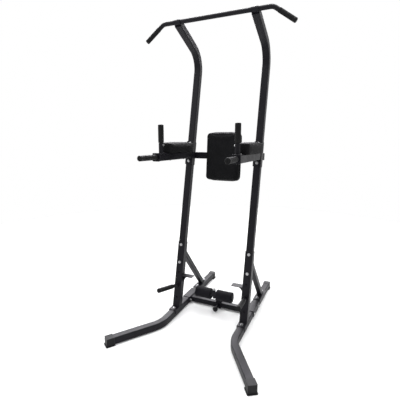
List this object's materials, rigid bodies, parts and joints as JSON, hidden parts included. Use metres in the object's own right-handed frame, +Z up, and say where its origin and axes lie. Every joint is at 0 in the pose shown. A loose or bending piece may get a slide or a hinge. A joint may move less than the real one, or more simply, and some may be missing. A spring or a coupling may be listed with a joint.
{
  "type": "power tower",
  "caption": "Free-standing steel power tower with leaning uprights, overhead pull-up bar, padded dip arms, back pad, push-up handles, steps and a foam-roller foot-hold",
  "frame": {"origin": "on the floor, at the centre of the footprint's bounding box", "axes": "+Z up, front (the side the user stands on, with the dip handles) towards -Y, +X towards the tower's right-hand side as seen from in front"},
  "size_m": [1.0446, 1.316, 2.1285],
  "materials": {
    "frame_steel": "satin black powder coat on steel tube",
    "plastic": "fine-textured black moulded plastic",
    "grip_foam": "matt black closed-cell grip sleeve",
    "roller_foam": "matt charcoal foam with fine cells",
    "vinyl": "semi-gloss black upholstery vinyl over foam",
    "board": "black-stained plywood",
    "zinc": "bright zinc plate"
  },
  "bodies": {
    "tower": {"leg_left": "frame_steel", "leg_right": "frame_steel", "front_foot_left": "plastic", "front_foot_right": "plastic", "rear_foot_left": "plastic", "rear_foot_right": "plastic", "lower_upright_left": "frame_steel", "lower_upright_right": "frame_steel", "sleeve_bush_left": "plastic", "sleeve_bush_right": "plastic", "brace_left": "frame_steel", "brace_right": "frame_steel", "crossbeam": "frame_steel", "main_upright_left": "frame_steel", "main_upright_right": "frame_steel", "top_upright_left": "frame_steel", "top_upright_right": "frame_steel", "pullup_bar": "frame_steel", "bar_grip_left": "grip_foam", "bar_grip_right": "grip_foam", "dip_arm_left": "frame_steel", "dip_arm_right": "frame_steel", "dip_grip_left": "grip_foam", "dip_grip_right": "grip_foam", "upright_post_left": "frame_steel", "upright_post_right": "frame_steel", "upright_grip_left": "grip_foam", "upright_grip_right": "grip_foam", "forearm_boards": "board", "forearm_pad_left": "vinyl", "forearm_pad_right": "vinyl", "back_crossbar": "frame_steel", "crossbar_plug_left": "plastic", "crossbar_plug_right": "plastic", "back_board": "board", "back_pad": "vinyl", "pushup_handle_left": "frame_steel", "pushup_handle_right": "frame_steel", "pushup_grip_left": "grip_foam", "pushup_grip_right": "grip_foam", "step_left": "frame_steel", "step_right": "frame_steel", "pin_housing": "frame_steel", "pin_spring": "zinc", "frame_bolts": "zinc", "arm_bolts": "zinc", "bar_bolts": "zinc", "pad_bolts": "zinc"},
    "foothold": {"foothold_post": "frame_steel", "roller_axle": "frame_steel", "axle_caps": "plastic", "axle_bolt": "zinc"},
    "roller_left": {"foam_roller_left": "roller_foam", "roller_core_left": "plastic"},
    "roller_right": {"foam_roller_right": "roller_foam", "roller_core_right": "plastic"},
    "lock_pin_slider": {"lock_pin": "zinc", "pin_knob": "plastic"},
    "knob_left": {"pushup_knob_left": "plastic"},
    "knob_right": {"pushup_knob_right": "plastic"}
  },
  "joints": [
    {"name": "foothold_lift", "type": "slide", "parent": "tower", "child": "foothold", "axis": [0, 0, 1], "range_m": [0, 0.025]},
    {"name": "roller_left_spin", "type": "hinge", "parent": "foothold", "child": "roller_left", "pos_m": [-0.084, 0.02395, 0.16037], "axis": [1, 0, 0], "continuous": true},
    {"name": "roller_right_spin", "type": "hinge", "parent": "foothold", "child": "roller_right", "pos_m": [0.084, 0.02395, 0.16037], "axis": [1, 0, 0], "continuous": true},
    {"name": "lock_pin_pull", "type": "slide", "parent": "tower", "child": "lock_pin_slider", "axis": [0, -1, 0], "range_m": [0, 0.008], "stiffness_N_per_m": 900, "springref_m": -0.006, "deforming": ["pin_spring"]},
    {"name": "knob_left_turn", "type": "hinge", "parent": "tower", "child": "knob_left", "pos_m": [-0.268, 0.00128, 0.20883], "axis": [0, -0.9781, 0.2079], "continuous": true},
    {"name": "knob_right_turn", "type": "hinge", "parent": "tower", "child": "knob_right", "pos_m": [0.268, 0.00128, 0.20883], "axis": [0, -0.9781, 0.2079], "continuous": true}
  ]
}
